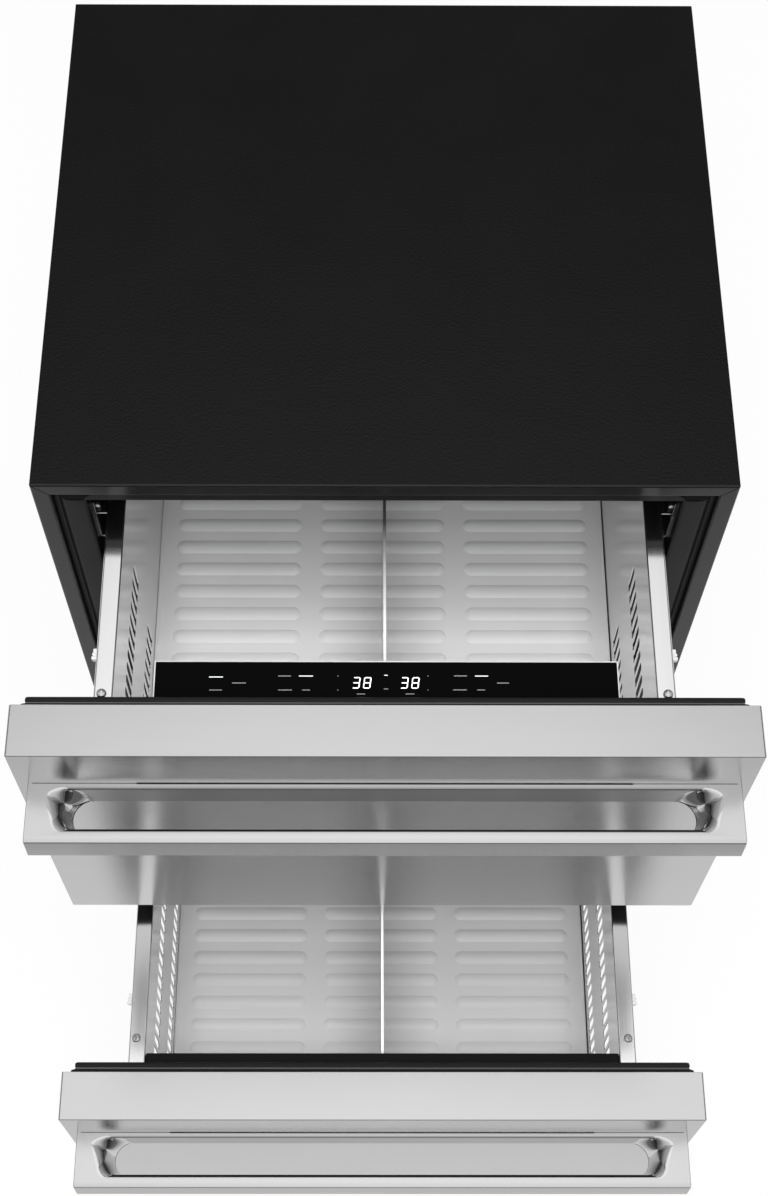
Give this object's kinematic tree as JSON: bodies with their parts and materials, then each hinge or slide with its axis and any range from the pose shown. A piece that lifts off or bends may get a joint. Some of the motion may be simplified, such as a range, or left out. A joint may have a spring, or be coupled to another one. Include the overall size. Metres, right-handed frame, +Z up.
{
  "type": "undercounter drawer refrigerator",
  "caption": "Undercounter refrigerator with stacked pull-out drawers: black steel cabinet, stainless fronts, scooped bar handles, slotted steel boxes and touch controls.",
  "frame": {"origin": "centre of the footprint on the floor, drawers open as in the picture", "axes": "+X to the right seen from the front, +Y from the handles to the back, +Z up"},
  "size_m": [0.606, 1.051, 0.876],
  "materials": {
    "black_paint": "semi-gloss, fine orange peel",
    "grey_frame": "satin",
    "stainless": "brushed across the width",
    "handle_steel": "fine brushed, polished in the scoops",
    "satin_steel": "satin, softly mirroring",
    "galvanised": "dull",
    "zinc": "bright zinc",
    "black_plastic": "satin",
    "rubber": "matte",
    "liner": "satin",
    "foam": "matte",
    "aluminium": "plain",
    "light_grey": "satin metallic",
    "clear": "clear",
    "black_glass": "polished",
    "copper": "plain",
    "lens": "diffusing"
  },
  "bodies": {
    "cabinet": {"cabinet_shell": "black_paint", "rear_panel": "galvanised", "base_pan": "galvanised", "cabinet_insulation": "foam", "upper_liner": "liner", "lower_liner": "liner", "front_frame": "grey_frame", "toe_grille": "black_plastic", "evaporator_cover": "liner", "evaporator_coil": "aluminium", "evaporator_fan_motor": "zinc", "upper_light": "lens", "lower_light": "lens", "condenser_coil": "aluminium", "condenser_fan_motor": "galvanised", "compressor": "black_paint", "drain_pan": "black_plastic", "filter_drier": "copper", "control_board_box": "light_grey", "upper_cabinet_rail_left": "zinc", "upper_cabinet_rail_right": "zinc", "lower_cabinet_rail_left": "zinc", "lower_cabinet_rail_right": "zinc"},
    "upper_drawer": {"upper_front_skin": "stainless", "upper_inner_panel": "black_plastic", "upper_gasket": "rubber", "upper_handle": "handle_steel", "upper_box_walls": "satin_steel", "upper_tray": "light_grey", "upper_front_beam": "black_plastic", "upper_divider": "clear", "upper_rim_screw_left": "zinc", "upper_rim_screw_right": "zinc", "upper_box_rail_left": "zinc", "upper_box_rail_right": "zinc", "control_housing": "light_grey", "control_glass": "black_glass"},
    "lower_drawer": {"lower_front_skin": "stainless", "lower_inner_panel": "black_plastic", "lower_gasket": "rubber", "lower_handle": "handle_steel", "lower_box_walls": "satin_steel", "lower_tray": "light_grey", "lower_front_beam": "black_plastic", "lower_divider": "clear", "lower_rim_screw_left": "zinc", "lower_rim_screw_right": "zinc", "lower_box_rail_left": "zinc", "lower_box_rail_right": "zinc"},
    "upper_middle_rails": {"upper_middle_rail_left": "zinc", "upper_middle_rail_right": "zinc"},
    "lower_middle_rails": {"lower_middle_rail_left": "zinc", "lower_middle_rail_right": "zinc"},
    "evaporator_fan": {"evaporator_fan_blade": "black_plastic"},
    "condenser_fan": {"condenser_fan_blade": "black_plastic"},
    "front_left_leg": {"leg_front_left": "zinc"},
    "front_right_leg": {"leg_front_right": "zinc"},
    "rear_left_leg": {"leg_rear_left": "zinc"},
    "rear_right_leg": {"leg_rear_right": "zinc"}
  },
  "joints": [
    {"name": "upper_drawer_slide", "type": "slide", "parent": "cabinet", "child": "upper_drawer", "axis": [0, -1, 0], "range_m": [-0.186, 0.206]},
    {"name": "lower_drawer_slide", "type": "slide", "parent": "cabinet", "child": "lower_drawer", "axis": [0, -1, 0], "range_m": [-0.392, 0]},
    {"name": "upper_middle_slide", "type": "slide", "parent": "cabinet", "child": "upper_middle_rails", "axis": [0, -1, 0], "range_m": [-0.093, 0.103]},
    {"name": "lower_middle_slide", "type": "slide", "parent": "cabinet", "child": "lower_middle_rails", "axis": [0, -1, 0], "range_m": [-0.196, 0]},
    {"name": "evaporator_fan_spin", "type": "hinge", "parent": "cabinet", "child": "evaporator_fan", "pos_m": [0, 0.4225, 0.76], "axis": [0, 1, 0], "continuous": true},
    {"name": "condenser_fan_spin", "type": "hinge", "parent": "cabinet", "child": "condenser_fan", "pos_m": [-0.15, 0.1075, 0.086], "axis": [0, 1, 0], "continuous": true},
    {"name": "front_left_leg_screw", "type": "slide", "parent": "cabinet", "child": "front_left_leg", "axis": [0, 0, -1], "range_m": [0, 0.025]},
    {"name": "front_right_leg_screw", "type": "slide", "parent": "cabinet", "child": "front_right_leg", "axis": [0, 0, -1], "range_m": [0, 0.025]},
    {"name": "rear_left_leg_screw", "type": "slide", "parent": "cabinet", "child": "rear_left_leg", "axis": [0, 0, -1], "range_m": [0, 0.025]},
    {"name": "rear_right_leg_screw", "type": "slide", "parent": "cabinet", "child": "rear_right_leg", "axis": [0, 0, -1], "range_m": [0, 0.025]}
  ],
  "couplings": [
    {"joint": "upper_middle_slide", "follows": "upper_drawer_slide", "ratio": 0.5},
    {"joint": "lower_middle_slide", "follows": "lower_drawer_slide", "ratio": 0.5}
  ]
}
